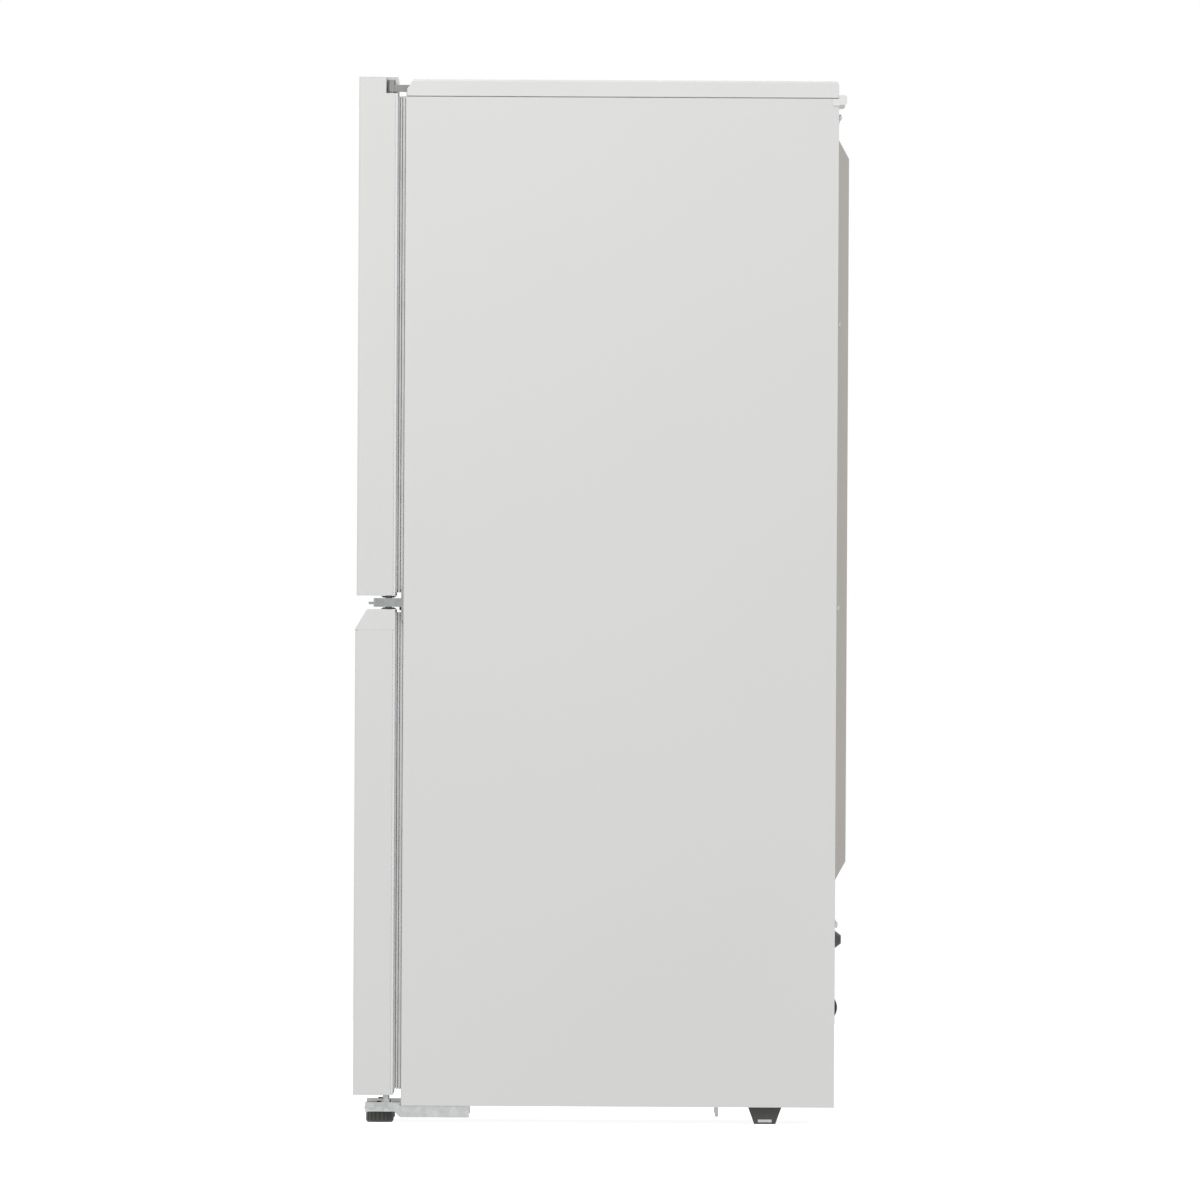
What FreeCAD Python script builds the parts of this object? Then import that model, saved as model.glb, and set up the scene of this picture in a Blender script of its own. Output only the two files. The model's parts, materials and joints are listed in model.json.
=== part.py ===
import FreeCAD, Part
import math
import os
import Sketcher

# Two-door top freezer refrigerator, +Z up. The origin is on the floor under the middle of the
# overall box: +X is the hinge side, -Y is the front where the doors are.

doc = FreeCAD.newDocument("Refrigerator")
sheet = doc.addObject("Spreadsheet::Sheet", "dims")

DIMENSIONS = {
    # cabinet shell
    "half_width": 250,
    "body_front": -237.5,
    "body_rear": 282.5,
    "body_base": 20,
    "body_roof": 1231,
    "steel": 0.8,
    "rim_width": 40,
    "rear_rim": 12,
    "cover_top": 1252,
    "bulge_rear": 295,
    "bulge_low": 292,
    "bulge_high": 1183,
    # inner compartments
    "liner": 1.5,
    "cavity_half": 205,
    "cavity_round": 14,
    "freezer_floor": 650,
    "freezer_ceiling": 1187,
    "freezer_rear": 222,
    "fridge_floor": 66,
    "fridge_ceiling": 598,
    "fridge_rear": 232,
    "hump_front": 72,
    "hump_top": 312,
    "lip": 5,
    "bay_front": 111,
    "bay_ceiling": 266,
    # doors
    "door_rear": -247,
    "upper_front": -293.5,
    "lower_front": -295,
    "upper_low": 632,
    "upper_high": 1254.5,
    "lower_low": 32.5,
    "lower_high": 615.5,
    "cap": 22,
    "dyke_half": 190,
    "dyke_rear": -205,
    "recess_front": -267,
    "bin_rear": -182,
    "gasket_half": 243,
    "gasket_leg": 18,
    # hinges
    "axis_side": 241,
    "axis_front": -255,
    "pin": 4,
    "running": 0.05,
    # drawers and shelves
    "drawer_half": 176,
    "drawer_front": -165,
    "drawer_wall": 2,
    # machine
    "compressor_side": 30,
    "compressor_depth": 188,
    "compressor_radius": 70,
    "fan_height": 1075,
    "knob_side": -70,
    "knob_height": 573,
}


class Size:
    """A length in millimetres together with the spreadsheet expression that gives it."""

    def __init__(self, value, text):
        self.value = float(value)
        self.text = text

    def __add__(self, other):
        other = size(other)
        return Size(self.value + other.value, f"({self.text} + {other.text})")

    def __sub__(self, other):
        other = size(other)
        return Size(self.value - other.value, f"({self.text} - {other.text})")

    def __mul__(self, other):
        other = size(other)
        return Size(self.value * other.value, f"({self.text} * {other.text})")

    def __rsub__(self, other):
        return size(other) - self

    def __neg__(self):
        return self * -1

    __radd__ = __add__
    __rmul__ = __mul__


def size(value):
    """Any number as a Size."""
    return value if isinstance(value, Size) else Size(value, repr(round(float(value), 6)))


class Named:
    """The driving dimensions, one attribute for each alias in the spreadsheet."""


d = Named()
for row, (alias, number) in enumerate(DIMENSIONS.items(), start=1):
    sheet.set(f"A{row}", alias)
    sheet.set(f"B{row}", str(number))
    sheet.setAlias(f"B{row}", alias)
    setattr(d, alias, Size(number, f"dims.{alias}"))
doc.recompute()

# Sizes that several sub-parts share, worked out from the driving dimensions.
inner_half = d.half_width - d.steel
rim_inner = d.half_width - d.rim_width
face_rear = d.body_front + d.steel
foam_rear = d.body_rear - d.steel * 2
skin_inner = d.body_roof - d.steel
panel_rear = d.body_rear - d.steel
gasket_rear = d.body_front - 0.4

AXES = {"X": FreeCAD.Rotation(FreeCAD.Vector(0, 1, 0), 90),
        "Y": FreeCAD.Rotation(FreeCAD.Vector(1, 0, 0), -90),
        "Z": FreeCAD.Rotation()}
PLANES = {"X": "YZ_Plane", "Y": "XZ_Plane", "Z": "XY_Plane"}


def bind(feature, prop, value):
    """Binds a property of a feature to its expression."""
    feature.setExpression(prop, size(value).text)


class Piece:
    """One sub-part: a PartDesign body with features added to it one after another."""

    def __init__(self, label):
        self.body = doc.addObject("PartDesign::Body", label)
        self.body.Label = label
        self.body.Placement = FreeCAD.Placement()

    def place(self, feature, x, y, z):
        for letter, value in zip("xyz", (x, y, z)):
            bind(feature, f"Placement.Base.{letter}", value)

    def new(self, shape, cut):
        kind = "Subtractive" if cut else "Additive"
        return self.body.newObject(f"PartDesign::{kind}{shape}", shape.lower())

    def box(self, x, y, z, cut=False):
        """A box between (low, high) pairs."""
        feature = self.new("Box", cut)
        for prop, (low, high) in zip(("Length", "Width", "Height"), (x, y, z)):
            bind(feature, prop, size(high) - low)
        self.place(feature, x[0], y[0], z[0])
        return feature

    def round_bar(self, shape, axis, across, span, cut):
        """A cylinder or cone along an axis; across holds its other two coordinates in X, Y, Z order."""
        feature = self.new(shape, cut)
        feature.Placement = FreeCAD.Placement(FreeCAD.Vector(), AXES[axis])
        bind(feature, "Height", size(span[1]) - span[0])
        spot = list(across)
        spot.insert("XYZ".index(axis), span[0])
        self.place(feature, *spot)
        return feature

    def rod(self, axis, across, span, radius, cut=False):
        feature = self.round_bar("Cylinder", axis, across, span, cut)
        bind(feature, "Radius", radius)

    def cone(self, axis, across, span, radius_low, radius_high, cut=False):
        feature = self.round_bar("Cone", axis, across, span, cut)
        bind(feature, "Radius1", radius_low)
        bind(feature, "Radius2", radius_high)

    def ball(self, x, y, z, radius):
        feature = self.new("Sphere", False)
        bind(feature, "Radius", radius)
        self.place(feature, x, y, z)

    def taper(self, x, y, z, inset, cut=False):
        """A block whose face at the high end of y is smaller by inset all round."""
        feature = self.new("Wedge", cut)
        for letter, (low, high) in zip("XYZ", (x, y, z)):
            bind(feature, f"{letter}min", low)
            bind(feature, f"{letter}max", high)
        for letter, (low, high) in zip("XZ", (x, z)):
            bind(feature, f"{letter}2min", size(low) + inset)
            bind(feature, f"{letter}2max", size(high) - inset)

    def profile(self, axis, points, span, cut=False):
        """A straight-sided outline pushed along an axis; its points hold the other two coordinates."""
        sketch = self.body.newObject("Sketcher::SketchObject", "outline")
        plane = [o for o in self.body.Origin.OriginFeatures if o.Role == PLANES[axis]][0]
        sketch.AttachmentSupport = (plane, [""])
        sketch.MapMode = "FlatFace"
        low, high = size(span[0]), size(span[1])
        bind(sketch, "AttachmentOffset.Base.z", -high if axis == "Y" else low)
        corners = [(size(u), size(v)) for u, v in points]
        ends = [FreeCAD.Vector(u.value, v.value, 0) for u, v in corners]
        for start, end in zip(ends, ends[1:] + ends[:1]):
            sketch.addGeometry(Part.LineSegment(start, end), False)
        for i, corner in enumerate(corners):
            sketch.addConstraint(Sketcher.Constraint("Coincident", i, 2, (i + 1) % len(corners), 1))
            for kind, value in zip(("DistanceX", "DistanceY"), corner):
                index = sketch.addConstraint(Sketcher.Constraint(kind, -1, 1, i, 1, value.value))
                bind(sketch, f"Constraints[{index}]", value)
        feature = self.body.newObject("PartDesign::Pocket" if cut else "PartDesign::Pad", "push")
        feature.Profile = sketch
        bind(feature, "Length", high - low)
        if cut:
            feature.Reversed = True
            doc.recompute()
            before = feature.BaseFeature.Shape.Volume
            if feature.Shape.Volume > before - 0.001:
                raise RuntimeError(f"{self.body.Label}: a cut removed nothing")

    def soften(self, radius, chosen):
        """Rounds the edges that the test chosen(middle, direction, length) picks."""
        doc.recompute()
        tip = self.body.Tip
        names = []
        for number, edge in enumerate(tip.Shape.Edges, start=1):
            if edge.Curve.TypeId != "Part::GeomLine":
                continue
            ends = edge.Vertexes
            along = ends[-1].Point - ends[0].Point
            if chosen(edge.CenterOfMass, along, edge.Length):
                names.append(f"Edge{number}")
        if not names:
            raise RuntimeError(f"{self.body.Label}: no edge to round")
        feature = self.body.newObject("PartDesign::Fillet", "fillet")
        feature.Base = (tip, names)
        bind(feature, "Radius", radius)


def runs(along, axis):
    """Whether an edge's direction is along the named axis."""
    return abs(getattr(along, axis)) > 0.999 * along.Length


def near(value, *targets):
    """Whether a coordinate is at one of the target sizes."""
    return any(abs(value - size(t).value) < 0.02 for t in targets)


def between(value):
    """A span centred on the middle plane."""
    return (-value, value)


def on_side(side, inner, outer):
    """The span from inner to outer, counted from the middle plane towards one side, -1 or 1."""
    return (inner * side, outer * side) if side > 0 else (outer * side, inner * side)


# ---------------------------------------------------------------- cabinet

def cabinet_wrapper():
    """Both side panels and the roof, one bent steel sheet with folded rims front and back."""
    piece = Piece("cabinet_wrapper")
    depth = (d.body_front, d.body_rear)
    tall = (d.body_base, d.body_roof)
    for side in (-1, 1):
        piece.box(on_side(side, inner_half, d.half_width), depth, tall)
        piece.box(on_side(side, rim_inner, d.half_width), (d.body_front, face_rear), tall)
        piece.box(on_side(side, d.half_width - d.rear_rim, d.half_width),
                  (panel_rear, d.body_rear), tall)
    piece.box(between(d.half_width), depth, (skin_inner, d.body_roof))
    piece.box(between(d.half_width), (d.body_front, face_rear),
              (d.freezer_ceiling + d.lip, d.body_roof))
    piece.box(between(d.half_width), (panel_rear, d.body_rear),
              (d.body_roof - d.rear_rim, d.body_roof))
    bend = d.steel * 2
    piece.soften(bend - d.steel * 0.4, lambda at, along, length: runs(along, "z") and length > 900
                 and near(abs(at.x), inner_half) and near(at.y, face_rear))
    piece.soften(bend + d.steel * 0.6, lambda at, along, length: runs(along, "z") and length > 900
                 and near(abs(at.x), d.half_width) and near(at.y, d.body_front))
    return piece


def top_cover():
    """The moulded top, hollow underneath, with a chamfered front and a shadow line below it."""
    piece = Piece("top_cover")
    skirt_low = d.body_roof + 1
    front = d.body_front + 1.5
    outline = [(front, skirt_low), (front, skirt_low + 8.5), (front + 8.5, d.cover_top),
               (d.body_rear - 5, d.cover_top), (d.body_rear - 1, d.cover_top - 1.5),
               (d.body_rear, d.cover_top - 5), (d.body_rear, skirt_low)]
    piece.profile("X", outline, between(d.half_width))
    piece.soften(2.5, lambda at, along, length: near(abs(at.x), d.half_width)
                 and near(at.z, d.cover_top))
    foot = 3
    piece.box(between(d.half_width - foot), (front + foot, d.body_rear - foot),
              (d.body_roof, skirt_low))
    wall = 2.5
    hollow = foot + wall
    piece.box(between(d.half_width - hollow), (front + hollow + wall, d.body_rear - hollow),
              (d.body_roof, d.cover_top - wall), cut=True)
    for place in (-150, -50, 50, 150):
        piece.box((place, place + 2), (front + hollow, d.body_rear - hollow),
                  (d.body_roof + 12, d.cover_top - 1))
    piece.box((d.axis_side - 48, d.axis_side + 4.3), (front - 1, front + 100),
              (d.body_roof - 1, d.body_roof + 16), cut=True)
    return piece


def back_panel():
    """The moulded rear wall: a flat rim and a raised field with two shallow bands across it."""
    piece = Piece("back_panel")
    half = d.half_width - d.rear_rim - 0.3
    field = half - 4
    rim = 1.2
    piece.box(between(half), (panel_rear - rim, panel_rear), (d.bay_ceiling + 1.5, skin_inner - 12))
    slope = 24
    wall = 3
    piece.taper(between(field), (panel_rear, d.bulge_rear), (d.bulge_low, d.bulge_high), slope)
    piece.soften(5, lambda at, along, length: near(at.y, d.bulge_rear))
    piece.taper(between(field - wall), (panel_rear - rim, d.bulge_rear - wall),
                (d.bulge_low + wall, d.bulge_high - wall), slope, cut=True)
    band = d.bulge_rear - 1.6
    for low, high in ((552, 651), (891, 995)):
        piece.box(between(field - slope - 14), (band, d.bulge_rear + 1), (low, high), cut=True)
    return piece


def channel(label, low, high):
    """A steel strip across the cabinet's face with both edges folded back."""
    piece = Piece(label)
    across = between(rim_inner - 0.2)
    fold = d.body_front + 14
    piece.box(across, (d.body_front, face_rear), (low, high))
    piece.box(across, (d.body_front, fold), (low, low + d.steel))
    piece.box(across, (d.body_front, fold), (high - d.steel, high))
    return piece


def mullion_bar():
    return channel("mullion_bar", d.fridge_ceiling + d.lip, d.freezer_floor - d.lip)


def front_rail():
    return channel("front_rail", d.body_base, d.fridge_floor - d.lip)


def base_plate():
    """The floor sheet: stiffened by two folds, with a turned-up rear lip and air slots."""
    piece = Piece("base_plate")
    thick = 1.2
    rail = d.body_front + 15
    piece.box(between(inner_half), (rail, panel_rear), (d.body_base, d.body_base + thick))
    piece.box(between(inner_half), (panel_rear - thick, panel_rear), (d.body_base, d.body_base + 14))
    for place in (-200, 185):
        piece.box((place, place + thick), (rail, d.bay_front - 2), (d.body_base, d.body_base + 9))
    for step in range(6):
        place = -180 + step * 22
        piece.box((place, place + 9), (d.bay_front + 40, d.body_rear - 40),
                  (d.body_base - 1, d.body_base + thick + 1), cut=True)
    return piece


def compressor_bay_wall():
    """The folded sheet that parts the machine bay from the insulation, with its inlet plate."""
    piece = Piece("compressor_bay_wall")
    thick = 1
    floor = d.body_base + 1.4
    piece.box(between(inner_half), (d.bay_front, d.bay_front + thick),
              (floor, d.bay_ceiling + thick))
    piece.box(between(inner_half), (d.bay_front, panel_rear),
              (d.bay_ceiling, d.bay_ceiling + thick))
    plate = panel_rear - 1.4
    piece.box((180, 236), (plate, panel_rear), (196, d.bay_ceiling))
    piece.rod("Y", (210, 222), (plate - 1, panel_rear + 1), 8, cut=True)
    piece.rod("Z", (0, d.fridge_rear + 23), (d.bay_ceiling - 1, d.bay_ceiling + 2), 10, cut=True)
    return piece


def fridge_side(grow, front):
    """The fresh food compartment seen from the side, stepped over the machine bay."""
    return [(front, d.fridge_floor - grow), (d.hump_front + grow, d.fridge_floor - grow),
            (d.hump_front + grow, d.hump_top - grow), (d.fridge_rear + grow, d.hump_top - grow),
            (d.fridge_rear + grow, d.fridge_ceiling + grow), (front, d.fridge_ceiling + grow)]


def cabinet_foam():
    """Insulation between the sheet metal and the liners, in one casting."""
    piece = Piece("cabinet_foam")
    gap = 0.1
    front = d.body_front + 15
    shell = inner_half - gap
    outline = [(front, d.body_base + 9.2), (d.bay_front - gap, d.body_base + 9.2),
               (d.bay_front - gap, d.bay_ceiling + 1 + gap),
               (foam_rear - 1.3, d.bay_ceiling + 1 + gap), (foam_rear - 1.3, skin_inner - gap),
               (front, skin_inner - gap)]
    piece.profile("X", outline, between(shell))
    grow = d.liner + gap
    piece.box(between(d.cavity_half + grow), (front - 1, d.freezer_rear + grow),
              (d.freezer_floor - grow, d.freezer_ceiling + grow), cut=True)
    piece.profile("X", fridge_side(grow, front - 1), between(d.cavity_half + grow), cut=True)
    return piece


def freezer_liner():
    """Upper compartment's moulded lining, with ledges for its shelf and two drawers."""
    piece = Piece("freezer_liner")
    wall = d.liner
    lip_side = d.cavity_half + d.lip
    floor, ceiling, rear = d.freezer_floor, d.freezer_ceiling, d.freezer_rear
    piece.box(between(d.cavity_half + wall), (d.body_front, rear + wall),
              (floor - wall, ceiling + wall))
    piece.box(between(lip_side), (d.body_front, d.body_front + wall),
              (floor - d.lip, ceiling + d.lip))
    piece.box(between(d.cavity_half), (d.body_front - 1, rear), (floor, ceiling), cut=True)
    piece.soften(d.cavity_round, lambda at, along, length: runs(along, "y") and length > 400
                 and near(abs(at.x), d.cavity_half) and near(at.z, floor, ceiling))
    for height in (814, 975):
        for side in (-1, 1):
            piece.box(on_side(side, d.drawer_half - 6, d.cavity_half), (-160, 150),
                      (height, height + 6))
    piece.rod("Z", (0, 200), (floor - wall - 1, floor + 1), 7, cut=True)
    return piece


def fridge_liner():
    """Lower compartment's moulded lining, with shelf ledges and the step over the machine."""
    piece = Piece("fridge_liner")
    wall = d.liner
    piece.profile("X", fridge_side(wall, d.body_front), between(d.cavity_half + wall))
    piece.box(between(d.cavity_half + d.lip), (d.body_front, d.body_front + wall),
              (d.fridge_floor - d.lip, d.fridge_ceiling + d.lip))
    piece.profile("X", fridge_side(0, d.body_front - 1), between(d.cavity_half), cut=True)
    piece.soften(d.cavity_round, lambda at, along, length: runs(along, "y") and length > 290
                 and near(abs(at.x), d.cavity_half)
                 and near(at.z, d.fridge_floor, d.fridge_ceiling))
    for height in (446, 386):
        for side in (-1, 1):
            piece.box(on_side(side, d.cavity_half - 14, d.cavity_half), (-185, d.fridge_rear - 3),
                      (height, height + 5))
    for side in (-1, 1):
        piece.box(on_side(side, d.drawer_half + 6, d.cavity_half), (-175, d.hump_front),
                  (d.hump_top - 3, d.hump_top))
    return piece


def evaporator_cover():
    """The panel in front of the cooling coil, with louvres, a return grille and the fan's grille."""
    piece = Piece("evaporator_cover")
    front = (157.5, 160)
    low, high = d.freezer_floor + 4, d.freezer_ceiling - 4
    half = d.cavity_half - 6
    piece.box(between(half), front, (low, high))
    for side in (-1, 1):
        piece.box(on_side(side, half - 2, half), (front[0], d.freezer_rear - 0.5), (low, high))
    for row in range(4):
        height = 1142 + row * 9
        piece.box((-150, 150), (front[0] - 1, front[1] + 1), (height, height + 4), cut=True)
        piece.box((-150, 150), (front[0] - 1, front[1] + 1), (height - 478, height - 474), cut=True)
    piece.rod("Y", (0, d.fan_height), (front[0] - 1, front[1] + 1), 47, cut=True)
    for step in range(-3, 4):
        piece.box((step * 13 - 1, step * 13 + 1), front, (d.fan_height - 48, d.fan_height + 48))
    piece.box((-48, 48), front, (d.fan_height - 2, d.fan_height + 2))
    return piece


def evaporator():
    """The cooling coil: two rows of tube through a stack of fins."""
    piece = Piece("evaporator")
    reach = 168
    rows = (176, 204)
    levels = [720 + 36 * i for i in range(6)]
    for y in rows:
        for level in levels:
            piece.rod("X", (y, level), (-reach, reach), 4)
    for i, low in enumerate(levels[:-1]):
        end = reach if i % 2 == 0 else -reach
        for y in rows:
            piece.rod("Z", (end, y), (low, low + 36), 4)
    for step in range(15):
        place = -154 + step * 22
        piece.box((place - 0.4, place + 0.4), (167, 213), (704, 916))
    return piece


def defrost_heater():
    piece = Piece("defrost_heater")
    piece.rod("X", (190, 684), (-150, 150), 4)
    for side in (-1, 1):
        piece.rod("Z", (150 * side, 190), (684, 700), 4)
        piece.ball(150 * side, 190, 684, 4)
    return piece


def fan_motor():
    """Motor can with three arms to the rear wall and a shaft that carries the blades."""
    piece = Piece("fan_motor")
    centre = (0, d.fan_height)
    piece.rod("Y", centre, (183, 208), 22)
    piece.rod("Y", centre, (166, 183), 1.5)
    for x, z in ((-38, -20), (38, -20), (0, 42)):
        piece.rod("Y", (x, d.fan_height + z), (196, d.freezer_rear - 0.1), 4)
    piece.box((-42, 42), (198, 202), (d.fan_height - 24, d.fan_height - 16))
    piece.box((-5, 5), (198, 202), (d.fan_height, d.fan_height + 46))
    return piece


def drain_tube():
    """Carries melted frost from the freezer floor, down behind the liner, to the tray."""
    piece = Piece("drain_tube")
    radius = 8
    level, rear = 622, d.fridge_rear + 23
    piece.rod("Z", (0, 200), (level, d.freezer_floor - d.liner - 0.1), radius)
    piece.ball(0, 200, level, radius)
    piece.rod("Y", (0, level), (200, rear), radius)
    piece.ball(0, rear, level, radius)
    piece.rod("Z", (0, rear), (214, level), radius)
    return piece


def control_housing():
    """Hollow box under the fridge ceiling for the thermostat, air damper, lamp and door switch."""
    piece = Piece("control_housing")
    top = d.fridge_ceiling - 0.4
    low = top - 50
    wall = 2.2
    front, rear = -125, 190
    outline = [(front, low + 6), (front, top), (rear, top), (rear, low), (front + 14, low)]
    piece.profile("X", outline, between(135))
    piece.box(between(135 - wall), (front + wall, rear - wall), (low + wall + 2, top - wall), cut=True)
    piece.rod("Y", (d.knob_side, d.knob_height), (front - 1, front + 8), 3.05, cut=True)
    piece.box((5, 95), (front - 1, front + wall + 1), (d.knob_height - 2, d.knob_height + 2), cut=True)
    piece.box((-60, 60), (-60, 110), (low - 1, low + 5), cut=True)
    for step in range(5):
        piece.box((-100, 100), (rear - wall - 1, rear + 1),
                  (low + 12 + step * 7, low + 15 + step * 7), cut=True)
    piece.box((125, 168), (-196, -150), (top - 24, top))
    piece.box((125, 150), (-152, -100), (top - 10, top))
    piece.rod("Y", (156, top - 16), (-197, -164), 3.05, cut=True)
    return piece


def lamp_cover():
    """Clear lens let into the housing's underside."""
    piece = Piece("lamp_cover")
    low = d.fridge_ceiling - 50.4
    piece.box((-59.8, 59.8), (-59.8, 109.8), (low - 4, low + 1.5))
    piece.soften(3, lambda at, along, length: near(at.z, low - 4))
    piece.box((-57, 57), (-57, 107), (low - 2.5, low + 3), cut=True)
    return piece


def freezer_shelf():
    """A coated wire rack that rests on the liner's upper ledges."""
    piece = Piece("freezer_shelf")
    level = 983.6
    reach = d.cavity_half - 3
    for y in (-178, -60, 60, 142):
        piece.rod("X", (y, level), (-reach, reach), 2.5)
    for step in range(20):
        place = -190 + step * 20
        piece.rod("Y", (place, level + 0.6), (-178, 142), 1.5)
    return piece


def ice_tray():
    """Two rows of six tapered pockets under a thin rim."""
    piece = Piece("ice_tray")
    low = 988.2
    left, front = -150, -150
    piece.box((left, left + 108), (front, front + 262), (low, low + 34))
    piece.box((left - 5, left + 113), (front - 5, front + 267), (low + 32, low + 34))
    for column in range(2):
        for line in range(6):
            x, y = left + 5 + column * 50, front + 5 + line * 42.5
            piece.box((x, x + 47), (y, y + 39), (low + 3, low + 35), cut=True)
    return piece


def pane(label, level, front, rear):
    """A toughened glass shelf with rounded long edges."""
    piece = Piece(label)
    piece.box(between(d.cavity_half - 1.5), (front, rear), (level, level + 4))
    piece.soften(1.5, lambda at, along, length: runs(along, "x") and near(at.y, front))
    return piece


def glass_shelf():
    return pane("glass_shelf", 451.3, -178, d.fridge_rear - 4)


def crisper_cover():
    return pane("crisper_cover", d.hump_top + 0.3, -172, d.fridge_rear - 4)


# ---------------------------------------------------------------- machine bay

def compressor():
    """Welded steel shell, domed at both ends, on a base plate."""
    piece = Piece("compressor")
    centre = (d.compressor_side, d.compressor_depth)
    radius = d.compressor_radius
    dome = 18
    piece.cone("Z", centre, (40, 40 + dome), radius - dome, radius)
    piece.rod("Z", centre, (40 + dome, 168 - dome), radius)
    piece.cone("Z", centre, (168 - dome, 168), radius, radius - dome)
    piece.rod("Z", centre, (100, 104), radius + 2)
    x, y = centre
    piece.box((x - 88, x + 88), (y - 62, y + 62), (36.5, 40))
    return piece


def compressor_feet():
    """Where the four rubber mounts stand under the compressor's base plate."""
    x, y = d.compressor_side, d.compressor_depth
    return [(x + 75 * i, y + 50 * j) for i in (-1, 1) for j in (-1, 1)]


def compressor_grommets():
    """Four rubber mounts, each a solid of its own."""
    piece = Piece("compressor_grommets")
    floor = d.body_base + 1.2
    for spot in compressor_feet():
        piece.rod("Z", spot, (floor, 36.5), 11)
        piece.rod("Z", spot, (floor + 5, floor + 9), 8.5)
    return piece


def relay_cover():
    """Rounded cap over the compressor's terminals."""
    piece = Piece("relay_cover")
    span = (d.compressor_side - 28, d.compressor_side + 28)
    y, z = d.body_rear - 14, 139
    piece.rod("X", (y, z), span, 18)
    piece.box(span, (y - 24, y), (z - 18, z + 18))
    piece.rod("Z", (d.compressor_side, d.compressor_depth), (100, 180), d.compressor_radius + 2.1,
              cut=True)
    return piece


def evaporation_tray():
    """Open tray over the compressor, where its warmth dries the meltwater."""
    piece = Piece("evaporation_tray")
    x, y, z = (-70, 130), (124, 270), (168.2, 200)
    piece.box(x, y, z)
    piece.soften(8, lambda at, along, length: runs(along, "z"))
    piece.box((x[0] + 2, x[1] - 2), (y[0] + 2, y[1] - 2), (z[0] + 2, z[1] + 1), cut=True)
    return piece


def tube(piece, spots, radius):
    """Straight runs of pipe, each along one axis, with rounded joints between them."""
    for start, end in zip(spots, spots[1:]):
        axis = [i for i in range(3) if start[i] != end[i]][0]
        across = [start[i] for i in range(3) if i != axis]
        span = sorted((start[axis], end[axis]))
        piece.rod("XYZ"[axis], across, span, radius)
    for spot in spots[1:-1]:
        piece.ball(*spot, radius)


def refrigerant_pipes():
    """Suction, discharge and capillary runs round the machine bay."""
    piece = Piece("refrigerant_pipes")
    ceiling = 265.8
    tube(piece, [(-39.8, 190, 60), (-100, 190, 60), (-100, 190, ceiling)], 4)
    tube(piece, [(-39.8, 215, 130), (-85, 215, 130), (-85, 262, 130), (-85, 262, ceiling)], 3)
    tube(piece, [(-150, 205, 180.2), (-150, 205, ceiling)], 2)
    tube(piece, [(-150, 205, 79.8), (-150, 205, 50), (-190, 205, 50), (-190, 205, ceiling)], 3)
    return piece


def filter_drier():
    piece = Piece("filter_drier")
    spot = (-150, 205)
    piece.cone("Z", spot, (80, 92), 3, 9)
    piece.rod("Z", spot, (92, 168), 9)
    piece.cone("Z", spot, (168, 180), 9, 3)
    return piece


def cord_gland():
    """Mains inlet bush: a flange behind the plate, flat on one side, with an empty bore."""
    piece = Piece("cord_gland")
    spot = (210, 222)
    piece.rod("Y", spot, (panel_rear - 6, panel_rear), 7.9)
    piece.rod("Y", spot, (panel_rear, panel_rear + 1.6), 10)
    piece.cone("Y", spot, (panel_rear + 1.6, panel_rear + 8.2), 10, 5)
    piece.rod("Y", spot, (panel_rear - 7, panel_rear + 9), 4, cut=True)
    return piece


# ---------------------------------------------------------------- hinges, feet and fasteners

def top_hinge():
    """Cast bracket: a foot on the roof, a narrow arm over the door and a headed pin pointing down."""
    piece = Piece("top_hinge")
    x, y = d.axis_side, d.axis_front
    arm = 3.7
    low, high = d.body_roof + 5.6, d.body_roof + 14
    piece.box((x - 44, x + 2), (d.body_front + 6, d.body_front + 72), (d.body_roof, d.body_roof + 3))
    piece.box((x - 44, x + 2), (d.body_front + 1, d.body_front + 8), (d.body_roof, high))
    piece.box((x - arm, x + arm), (y, d.body_front + 8), (low, high))
    piece.box((x - 12, x + 2), (d.body_front - 1.5, d.body_front + 8), (low, high))
    piece.rod("Z", (x, y), (low, low + 14.4), 5)
    piece.rod("Z", (x, y), (low - 22, low), d.pin)
    for spot in top_screws():
        piece.rod("Z", spot, (d.body_roof - 1, d.body_roof + 4), 2.4, cut=True)
    return piece


def top_screws():
    x = d.axis_side
    return [(x - 34, d.body_front + 22), (x - 8, d.body_front + 22), (x - 21, d.body_front + 56)]


def middle_hinge():
    """Plate between the doors with a folded edge and a pin up and down, fixed to the mullion."""
    piece = Piece("middle_hinge")
    x, y = d.axis_side, d.axis_front
    face = (d.body_front - 2.5, d.body_front)
    level = (d.lower_high + 6, d.lower_high + 9)
    piece.box((x - 62, x + 7), face, (d.lower_high - 2, d.upper_low))
    piece.box((x - 34, x + 7), (y - 24, face[1]), level)
    piece.soften(9, lambda at, along, length: runs(along, "z") and near(at.y, y - 24))
    for edge in ((x + 4.5, x + 7), (x - 34, x - 31.5)):
        piece.box(edge, (y - 18, face[1]), (level[0] - 3, level[1] + 4.5))
    piece.box((x + 2.8, x + 7), face, (d.lower_high - 14, d.upper_low + 8))
    piece.rod("Z", (x, y), (level[0] - 3, level[1] + 4), 6.2)
    piece.rod("Z", (x, y), (level[1], level[1] + 24), d.pin)
    piece.rod("Z", (x, y), (level[0] - 26, level[0]), d.pin)
    for spot in middle_screws():
        piece.rod("Y", spot, (face[0] - 1, face[1] + 1), 2.4, cut=True)
    return piece


def middle_screws():
    return [(d.axis_side - offset, d.lower_high + 3) for offset in (54, 41)]


def front_foot_spot(side):
    """Where the front foot of one side, -1 or 1, screws into its bracket."""
    return (side * 225, d.body_front - 25)


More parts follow.
